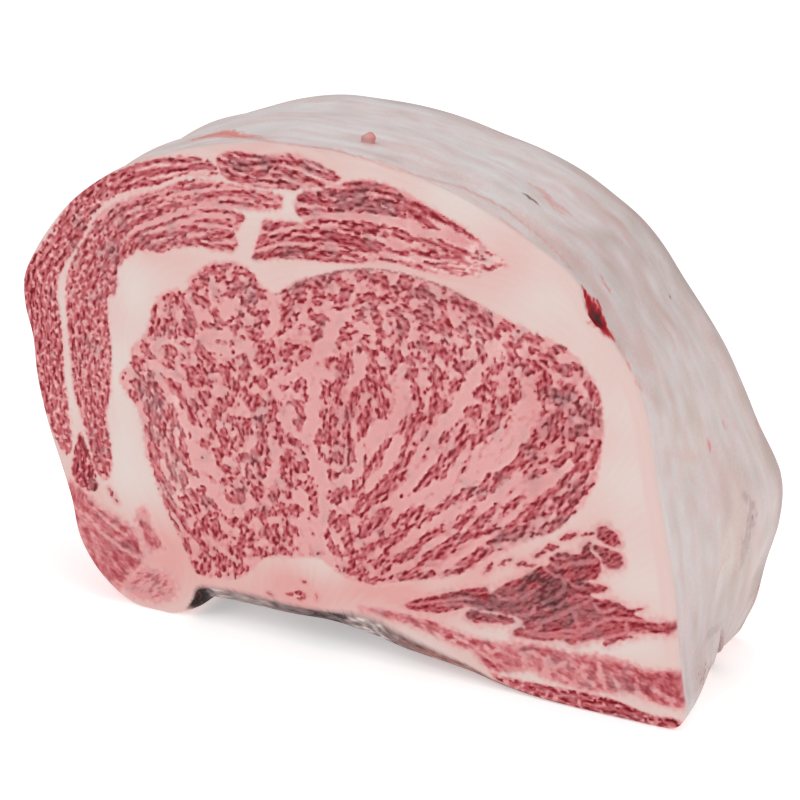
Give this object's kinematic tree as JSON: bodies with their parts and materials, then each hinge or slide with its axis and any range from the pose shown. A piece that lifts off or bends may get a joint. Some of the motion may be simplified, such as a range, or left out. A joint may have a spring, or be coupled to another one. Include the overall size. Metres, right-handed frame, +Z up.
{
  "type": "ribeye steak",
  "caption": "Very thick raw ribeye steak of heavily marbled beef, standing on its rib side, with a fat cap over the top and right side and two flat cut faces.",
  "frame": {"origin": "centre of the bounding box's base, on the plane the meat stands on", "axes": "+X to the right along the front cut face, towards the fat cap's foot; +Y from the front cut face to the back one, along the muscle fibres; +Z up"},
  "size_m": [0.2264, 0.065, 0.1573],
  "materials": {
    "marbled_beef": "moist raw beef: crimson lean finely marbled with pink fat, cream seam fat and a waxy grey-white fat cap"
  },
  "bodies": {
    "root": {"ribeye_steak": "marbled_beef"}
  },
  "joints": []
}
